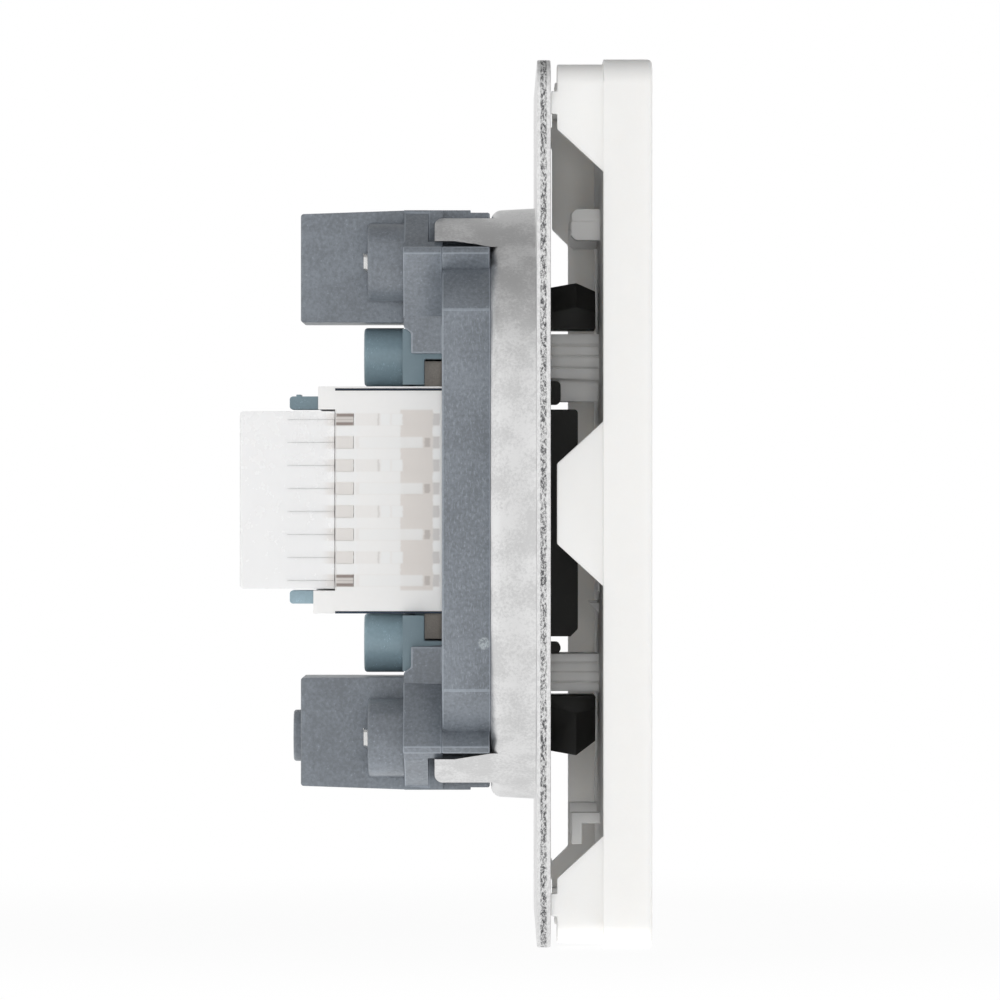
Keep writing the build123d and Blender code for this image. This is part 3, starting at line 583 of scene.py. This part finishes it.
# Rounded edges: angles in degrees, lengths in mm
rounding = {"angle": 32, "segments": 2, "shortest": 1.5, "alike": 0.9, "merge": 0.002, "level": 0.6,
            "corners": 13}
reshapes = {"wire_cap": narrowSlit, "idc_housing": fillWindow}
undissolved = {"idc_housing"}  # keeps its triangles, because its walls have many openings
splitBelow = {"cover": 1000}  # concave faces with fewer corners than this are split
roomyEdges = {"base_frame": 0.7, "idc_housing": 3.0, "wire_cap": 0.5, "jack_holder": 0.3}


# Picks the sharp edges that have room for a rounding; short edges and tight corners stay crisp
def pickEdges(mesh, edge, angle, room):
    work = bmesh.new()
    work.from_mesh(mesh)
    weights = work.edges.layers.float.new("bevel_weight_edge")
    sharp = {item for item in work.edges if len(item.link_faces) == 2
             and item.calc_face_angle(0) > math.radians(angle)}
    tight = set()
    for vertex in work.verts:
        around = list(vertex.link_edges)
        arms = [(item.other_vert(vertex).co - vertex.co).normalized() for item in around]
        narrow = any(arms[i].dot(arms[k]) > rounding["alike"]
                     and (around[i] in sharp or around[k] in sharp)
                     for i in range(len(arms)) for k in range(i))
        shortest = min((item.calc_length() for item in around), default=1.0)
        if narrow or shortest < max(rounding["shortest"] * edge, room) * mm:
            tight.add(vertex)
    for item in sharp:
        if item.verts[0] not in tight and item.verts[1] not in tight:
            item[weights] = 1.0
    work.to_mesh(mesh)
    work.free()


def takeMesh(host):  # the finished form of the host, which is removed
    bpy.context.view_layer.update()
    graph = bpy.context.evaluated_depsgraph_get()
    finished = bpy.data.meshes.new_from_object(host.evaluated_get(graph))
    bpy.data.objects.remove(host)
    return finished


# The mesh with its sharp edges rounded, and the rounded faces marked for the materials
def roundEdges(mesh, name, edge, segments=rounding["segments"], angle=rounding["angle"], room=0.0):
    pickEdges(mesh, edge, angle, room)
    source = addObject(name + "Source", mesh)
    bevel = source.modifiers.new("edges", "BEVEL")
    bevel.width = edge * mm
    bevel.segments = segments
    bevel.limit_method = "WEIGHT"
    bevel.use_clamp_overlap = False
    bevel.material = 1
    finished = takeMesh(source)
    finished.attributes.remove(finished.attributes["bevel_weight_edge"])
    marks = finished.attributes.new("edgeMask", "FLOAT", "FACE")
    marks.data.foreach_set("value", [float(face.material_index) for face in finished.polygons])
    return finished


def finishPiece(piece, body, material, replaced):
    piece.data.materials.clear()
    piece.data.materials.append(material)
    for face in piece.data.polygons:
        face.use_smooth = True
    piece.data.set_sharp_from_angle(angle=math.radians(rounding["angle"]))
    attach(piece, body)
    if replaced:
        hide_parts(*replaced)


# Copy of a CAD node with rounded edges and a material, standing for that node
def dressNode(name, body, material, edge, segments=rounding["segments"]):
    mesh = nodes[name].data.copy()
    mesh.materials.clear()
    if "custom_normal" in mesh.attributes:
        mesh.attributes.remove(mesh.attributes["custom_normal"])
    for turn in range(2):  # the second slot marks the rounded edges
        mesh.materials.append(material)
    work = bmesh.new()
    work.from_mesh(mesh)
    bmesh.ops.remove_doubles(work, verts=work.verts, dist=rounding["merge"] * mm)
    if name not in undissolved:
        level = math.radians(rounding["level"])
        bmesh.ops.dissolve_limit(work, angle_limit=level, verts=work.verts, edges=work.edges)
        corners = splitBelow.get(name, rounding["corners"])
        simple = [face for face in work.faces if len(face.verts) < corners]
        bmesh.ops.connect_verts_concave(work, faces=simple)
    for vertex in work.verts:
        vertex.co = reshapes.get(name, Vector)(vertex.co)
    work.to_mesh(mesh)
    work.free()
    mesh.name = name + "Mesh"
    finished = roundEdges(mesh, name, edge, segments, room=roomyEdges.get(name, 0.0))
    finishPiece(addObject(name + "Dressed", finished), body, material, [name])


# node: body, slot, material, edge radius in mm
dressing = {
    "support_plate": ("socket", "zinc_steel", zincSteel, 0.12),
    "base_frame": ("socket", "grey_plastic", basePlastic, 0.14),
    "jack_holder": ("socket", "teal_plastic", tealPlastic, 0.12),
    "idc_housing": ("socket", "milky_plastic", milkyHousing, 0.06),
    "circuit_board": ("socket", "board", boardLaminate, 0.05),
    "jack_housing": ("socket", "black_plastic", blackPlastic, 0.12),
    "contact_carrier": ("socket", "black_plastic", blackPlastic, 0.05),
    "upper_latch": ("socket", "black_plastic", blackPlastic, 0.12),
    "lower_latch": ("socket", "black_plastic", blackPlastic, 0.12),
    "wire_cap": ("wire_cap", "clear_plastic", clearPlastic, 0.05),
    "cover": ("cover", "white_plastic", coverPlastic, 0.12),
}
contactEdge = 0.05
for name, (body, slot, material, edge) in dressing.items():
    dressNode(name, body, material, edge)
for number in range(1, 9):
    name = f"idc_contact_{number}"
    dressNode(name, "socket", tinnedBronze, contactEdge, segments=1)

# Brackets of the base below the steel lugs: a cheek on each side of the flanges and a ridge
# towards the plate; outlines in X and Z of one quarter
bracket = {"middle": 0.3, "front": 3.8, "deck": 7.72, "rear": 10.92, "edge": 0.1, "angle": 20,
           "ridge": [(9.5, 18.75), (13.3, 18.75), (14.9, 20.25), (14.5, 20.8), (9.5, 20.8)],
           "cheek": [(9.7, 15.0), (10.75, 15.0), (13.5, 18.75), (14.9, 20.25), (14.5, 20.8),
                     (9.7, 20.8)]}


def addPrism(work, points, front, rear, sideX, sideZ):
    rings = []
    for y in (front, rear):
        rings.append([work.verts.new((sideX * x * mm, y * mm, (bracket["middle"] + sideZ * z) * mm))
                      for x, z in points])
    count = len(points)
    for i in range(count):
        k = (i + 1) % count
        work.faces.new((rings[0][i], rings[0][k], rings[1][k], rings[1][i]))
    work.faces.new(rings[0])
    work.faces.new(rings[1])


def makeBrackets():
    work = bmesh.new()
    for sideX in (-1, 1):
        for sideZ in (-1, 1):
            addPrism(work, bracket["ridge"], bracket["front"], bracket["deck"], sideX, sideZ)
            addPrism(work, bracket["cheek"], bracket["deck"], bracket["rear"], sideX, sideZ)
    bmesh.ops.recalc_face_normals(work, faces=work.faces)
    mesh = bpy.data.meshes.new("lugBracketMesh")
    work.to_mesh(mesh)
    work.free()
    mesh.materials.append(basePlastic)
    mesh.materials.append(basePlastic)
    rounded = roundEdges(mesh, "lugBrackets", bracket["edge"], angle=bracket["angle"])
    finishPiece(addObject("lugBrackets", rounded), "socket", basePlastic, [])


makeBrackets()
print("moulded pieces ready")


# Geometry Nodes helpers
def newTree(name, inputs):
    tree = bpy.data.node_groups.new(name, "GeometryNodeTree")
    tree.interface.new_socket("Geometry", in_out="INPUT", socket_type="NodeSocketGeometry")
    for label, kind in inputs + [("Material", "NodeSocketMaterial")]:
        tree.interface.new_socket(label, in_out="INPUT", socket_type=kind)
    tree.interface.new_socket("Geometry", in_out="OUTPUT", socket_type="NodeSocketGeometry")
    return tree, tree.nodes.new("NodeGroupInput"), tree.nodes.new("NodeGroupOutput")


def combine(tree, **parts):
    return addNode(tree, "ShaderNodeCombineXYZ", parts).outputs[0]


def endTree(tree, source, target, geometry):  # copies made real and painted
    real = addNode(tree, "GeometryNodeRealizeInstances", {"Geometry": geometry})
    painted = addNode(tree, "GeometryNodeSetMaterial", {
        "Geometry": real.outputs[0], "Material": source.outputs["Material"],
    })
    tree.links.new(painted.outputs[0], target.inputs[0])


def runTree(tree, data, name, values):
    host = addObject(name + "Host", data)
    modifier = host.modifiers.new("nodes", "NODES")
    modifier.node_group = tree
    for item in tree.interface.items_tree:
        if item.item_type == "SOCKET" and item.in_out == "INPUT" and item.name in values:
            modifier[item.identifier] = values[item.name]
    return addObject(name, takeMesh(host))


# Fixing screws: pan head with a cross recess, and a thread round the shank; lengths in mm
screw = {"Core": 0.78, "Thread": 0.1, "Pitch": 0.55, "Head": 1.78, "Head Height": 1.2,
         "Recess": 2.1, "Slot": 0.42}
screwPlace = {"seat": 2.6, "tip": 14.25}
screwMesh = {"shank": 24, "turn": 14, "profile": 4, "head": 32, "headTaper": 0.72}


def makeScrewTree():
    names = [*screw, "Length"]
    tree, source, target = newTree("fixingScrewTree", [(n, "NodeSocketFloat") for n in names])
    given = {n: source.outputs[n] for n in names}
    shank = addNode(tree, "GeometryNodeMeshCylinder", {
        "Vertices": screwMesh["shank"], "Radius": given["Core"], "Depth": given["Length"],
    })
    lifted = addNode(tree, "GeometryNodeTransform", {
        "Geometry": shank.outputs["Mesh"],
        "Translation": combine(tree, Z=times(tree, given["Length"], 0.5)),
    })
    spiral = addNode(tree, "GeometryNodeCurveSpiral", {
        "Resolution": screwMesh["turn"],
        "Rotations": calc(tree, "DIVIDE", given["Length"], given["Pitch"]),
        "Start Radius": given["Core"], "End Radius": given["Core"], "Height": given["Length"],
    })
    profile = addNode(tree, "GeometryNodeCurvePrimitiveCircle", {
        "Resolution": screwMesh["profile"], "Radius": given["Thread"],
    })
    thread = addNode(tree, "GeometryNodeCurveToMesh", {
        "Curve": spiral.outputs[0], "Profile Curve": profile.outputs[0], "Fill Caps": True,
    })
    head = addNode(tree, "GeometryNodeMeshCone", {
        "Vertices": screwMesh["head"], "Radius Top": given["Head"],
        "Radius Bottom": times(tree, given["Head"], screwMesh["headTaper"]),
        "Depth": given["Head Height"],
    })
    sunk = combine(tree, Z=times(tree, given["Head Height"], -1.0))
    recessed = addNode(tree, "GeometryNodeTransform", {
        "Geometry": head.outputs["Mesh"], "Translation": sunk,
    }).outputs[0]
    for first, second in (("Recess", "Slot"), ("Slot", "Recess")):  # the bars of the cross
        size = combine(tree, X=given[first], Y=given[second], Z=given["Head Height"])
        bar = addNode(tree, "GeometryNodeMeshCube", {"Size": size})
        cut = addNode(tree, "GeometryNodeTransform", {
            "Geometry": bar.outputs["Mesh"], "Translation": sunk,
        })
        boolean = addNode(tree, "GeometryNodeMeshBoolean", {
            "Mesh 1": recessed, "Mesh 2": cut.outputs[0],
        }, operation="DIFFERENCE")
        recessed = boolean.outputs["Mesh"]
    joined = tree.nodes.new("GeometryNodeJoinGeometry")
    for part in (recessed, thread.outputs[0], lifted.outputs[0]):
        tree.links.new(part, joined.inputs[0])
    standing = addNode(tree, "GeometryNodeInstanceOnPoints", {
        "Points": source.outputs["Geometry"], "Instance": joined.outputs[0],
        "Rotation": (-math.pi / 2, 0, 0),
    })
    endTree(tree, source, target, standing.outputs[0])
    return tree


def makeScrews():
    replaced = [f"fixing_screw_{number}" for number in range(1, 5)]
    places = []
    for name in replaced:
        low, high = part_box(name)
        middle = (low + high) / 2
        places.append((middle.x, screwPlace["seat"] * mm, middle.z))
    spots = bpy.data.meshes.new("screwSpots")
    spots.from_pydata(places, [], [])
    values = {name: size * mm for name, size in screw.items()}
    values["Length"] = (screwPlace["tip"] - screwPlace["seat"]) * mm
    values["Material"] = screwSteel
    piece = runTree(makeScrewTree(), spots, "fixingScrews", values)
    finishPiece(piece, "socket", screwSteel, replaced)


makeScrews()

# Sprung gold wires of the jack, in a row; the path is in Y and Z
wires = {"count": 8, "pitch": 1.02, "radius": 0.16, "bend": 0.7, "sides": 10, "bendSteps": 6,
         "path": [(8.85, 4.8), (0.2, 4.8), (4.9, -0.6)]}


def makeWireTree():
    tree, source, target = newTree("jackWireTree", [
        ("Count", "NodeSocketInt"), ("Pitch", "NodeSocketFloat"), ("Radius", "NodeSocketFloat"),
        ("Bend", "NodeSocketFloat"),
    ])
    given = source.outputs
    rounded = addNode(tree, "GeometryNodeFilletCurve", {
        "Curve": given["Geometry"], "Radius": given["Bend"], "Count": wires["bendSteps"],
        "Limit Radius": True,
    }, mode="POLY")
    profile = addNode(tree, "GeometryNodeCurvePrimitiveCircle", {
        "Resolution": wires["sides"], "Radius": given["Radius"],
    })
    wire = addNode(tree, "GeometryNodeCurveToMesh", {
        "Curve": rounded.outputs[0], "Profile Curve": profile.outputs[0], "Fill Caps": True,
    })
    span = times(tree, given["Pitch"], calc(tree, "SUBTRACT", given["Count"], 1.0))
    line = addNode(tree, "GeometryNodeMeshLine", {
        "Count": given["Count"], "Start Location": combine(tree, X=times(tree, span, -0.5)),
        "Offset": combine(tree, X=given["Pitch"]),
    })
    row = addNode(tree, "GeometryNodeInstanceOnPoints", {
        "Points": line.outputs[0], "Instance": wire.outputs[0],
    })
    endTree(tree, source, target, row.outputs[0])
    return tree


def makeWires():
    curve = bpy.data.curves.new("wirePath", "CURVE")
    curve.dimensions = "3D"
    line = curve.splines.new("POLY")
    line.points.add(len(wires["path"]) - 1)
    for point, (y, z) in zip(line.points, wires["path"]):
        point.co = (0, y * mm, z * mm, 1)
    values = {
        "Count": wires["count"], "Pitch": wires["pitch"] * mm, "Radius": wires["radius"] * mm,
        "Bend": wires["bend"] * mm, "Material": goldWire,
    }
    piece = runTree(makeWireTree(), curve, "jackWires", values)
    replaced = [f"jack_contact_{number}" for number in range(1, wires["count"] + 1)]
    finishPiece(piece, "socket", goldWire, replaced)


makeWires()

# Bars in the rows of the terminal block: thin webs that close its middle slots, and the cap's
# pressers
bars = {
    "slotWebs": {"size": (0.2, 1.5, 1.02), "across": (-8.46, 8.46), "depth": 15.83,
                 "body": "socket", "slot": "milky_plastic", "material": milkyHousing},
    "capPressers": {"size": (8.4, 8.0, 1.2), "across": (0.0,), "depth": 17.18,
                    "body": "wire_cap", "slot": "clear_plastic", "material": clearPlastic},
}
barForm = {"vertices": (3, 3, 2), "edge": 0.03}


def makeBarTree():
    tree, source, target = newTree("rowBarTree", [("Size", "NodeSocketVector")])
    sockets = {"Size": source.outputs["Size"]}
    for axis, vertices in zip("XYZ", barForm["vertices"]):
        sockets["Vertices " + axis] = vertices
    bar = addNode(tree, "GeometryNodeMeshCube", sockets)
    placed = addNode(tree, "GeometryNodeInstanceOnPoints", {
        "Points": source.outputs["Geometry"], "Instance": bar.outputs["Mesh"],
    })
    endTree(tree, source, target, placed.outputs[0])
    return tree


def makeBars():
    tree = makeBarTree()
    rows = [(block["top"] - block["pitch"] * row) * mm for row in range(block["rows"])]
    for name, bar in bars.items():
        spots = bpy.data.meshes.new(name + "Spots")
        places = [(x * mm, bar["depth"] * mm, z) for x in bar["across"] for z in rows]
        spots.from_pydata(places, [], [])
        values = {"Size": [length * mm for length in bar["size"]], "Material": bar["material"]}
        piece = runTree(tree, spots, name, values)
        piece.data.materials.append(bar["material"])
        piece.data = roundEdges(piece.data, name, barForm["edge"], segments=1)
        finishPiece(piece, bar["body"], bar["material"], [])


makeBars()
print("screws, wires and bars ready")

# Floor, overhead card, world and lamp, in metres and watts
white = (1, 1, 1, 1)
floorForm = {"size": 1.2, "height": -35.55 * mm, "paper": (0.85, 0.85, 0.85, 1), "glow": 0.86,
             "shadow": (0.03, 0.12), "shadowShare": 0.05}
cardForm = {"x": (-0.09, 0.34), "y": (-0.3, 0.3), "height": 0.24, "tone": 0.33, "roughness": 0.9}
sky = {"low": 0.5, "top": 0.3, "reach": 0.8}
lampForm = {"place": (-1.0, -0.004, 0.0), "aim": (0, -0.004, 0), "width": 0.06, "height": 0.3,
            "watts": 3.3}


def whiteForViewer(tree):  # 1 for rays that come from the camera, a gloss or a glass
    path = tree.nodes.new("ShaderNodeLightPath")
    seen = calc(tree, "MAXIMUM", path.outputs["Is Camera Ray"], path.outputs["Is Glossy Ray"])
    return calc(tree, "MAXIMUM", seen, path.outputs["Is Transmission Ray"])


def mixShaders(tree, factor, first, second):
    return addNode(tree, "ShaderNodeMixShader", {0: factor, 1: first, 2: second}).outputs[0]


def addSheet(name, xs, ys, height, order):  # level rectangle; order gives the side it faces
    corners = [(xs[0], ys[0], height), (xs[1], ys[0], height), (xs[1], ys[1], height),
               (xs[0], ys[1], height)]
    mesh = bpy.data.meshes.new(name)
    mesh.from_pydata(corners, [], [order])
    return addObject(name, mesh)


# Plain white where it is seen, with a faint shadow near the socket; paper with a glow that lights
# the object from below
def makeFloor():
    half = floorForm["size"] / 2
    floor = addSheet("floor", (-half, half), (-half, half), floorForm["height"], (0, 1, 2, 3))
    material = bpy.data.materials.new("floorPaper")
    material.use_nodes = True
    tree = material.node_tree
    tree.nodes.clear()
    place = tree.nodes.new("ShaderNodeTexCoord").outputs["Object"]
    away = addNode(tree, "ShaderNodeVectorMath", {0: place}, operation="LENGTH").outputs["Value"]
    near = smoothRange(tree, away, *floorForm["shadow"], floorForm["shadowShare"], 0.0)
    paper = addNode(tree, "ShaderNodeBsdfDiffuse", {"Color": floorForm["paper"]}).outputs[0]
    plain = addNode(tree, "ShaderNodeEmission", {"Color": white, "Strength": 1.0}).outputs[0]
    glowing = {"Color": white, "Strength": floorForm["glow"]}
    glow = addNode(tree, "ShaderNodeEmission", glowing).outputs[0]
    lit = addNode(tree, "ShaderNodeAddShader", {0: paper, 1: glow}).outputs[0]
    seen = mixShaders(tree, near, plain, paper)
    surface = mixShaders(tree, whiteForViewer(tree), lit, seen)
    addNode(tree, "ShaderNodeOutputMaterial", {0: surface})
    floor.data.materials.append(material)


# Grey card above the socket, out of the camera's sight, which darkens what faces up
def makeCard():
    card = addSheet("card", cardForm["x"], cardForm["y"], cardForm["height"], (0, 3, 2, 1))
    material = bpy.data.materials.new("cardPaint")
    material.use_nodes = True
    shader = material.node_tree.nodes["Principled BSDF"]
    shader.inputs["Base Color"].default_value = shade(white, cardForm["tone"])
    shader.inputs["Roughness"].default_value = cardForm["roughness"]
    card.data.materials.append(material)
    card.visible_camera = False
    card.visible_transmission = False


def makeWorld():
    world = bpy.data.worlds.new("studio")
    bpy.context.scene.world = world
    world.use_nodes = True
    tree = world.node_tree
    tree.nodes.clear()
    direction = tree.nodes.new("ShaderNodeTexCoord").outputs["Generated"]
    height = splitPlace(tree, direction)[2]
    level = smoothRange(tree, height, 0.0, sky["reach"], sky["low"], sky["top"])
    lit = addNode(tree, "ShaderNodeBackground", {"Color": white, "Strength": level}).outputs[0]
    seen = addNode(tree, "ShaderNodeBackground", {"Color": white, "Strength": 1.0}).outputs[0]
    surface = mixShaders(tree, whiteForViewer(tree), lit, seen)
    addNode(tree, "ShaderNodeOutputWorld", {0: surface})


def makeLamp():
    data = bpy.data.lights.new("front", "AREA")
    data.shape = "RECTANGLE"
    data.size = lampForm["width"]
    data.size_y = lampForm["height"]
    data.energy = lampForm["watts"]
    lamp = addObject("front", data)
    lamp.visible_camera = False
    lamp.visible_glossy = False
    lamp.location = lampForm["place"]
    sight = Vector(lampForm["aim"]) - Vector(lampForm["place"])
    lamp.rotation_euler = sight.to_track_quat("-Z", "Y").to_euler()  # its height stays upright


makeFloor()
makeCard()
makeWorld()
makeLamp()
print("stage ready")
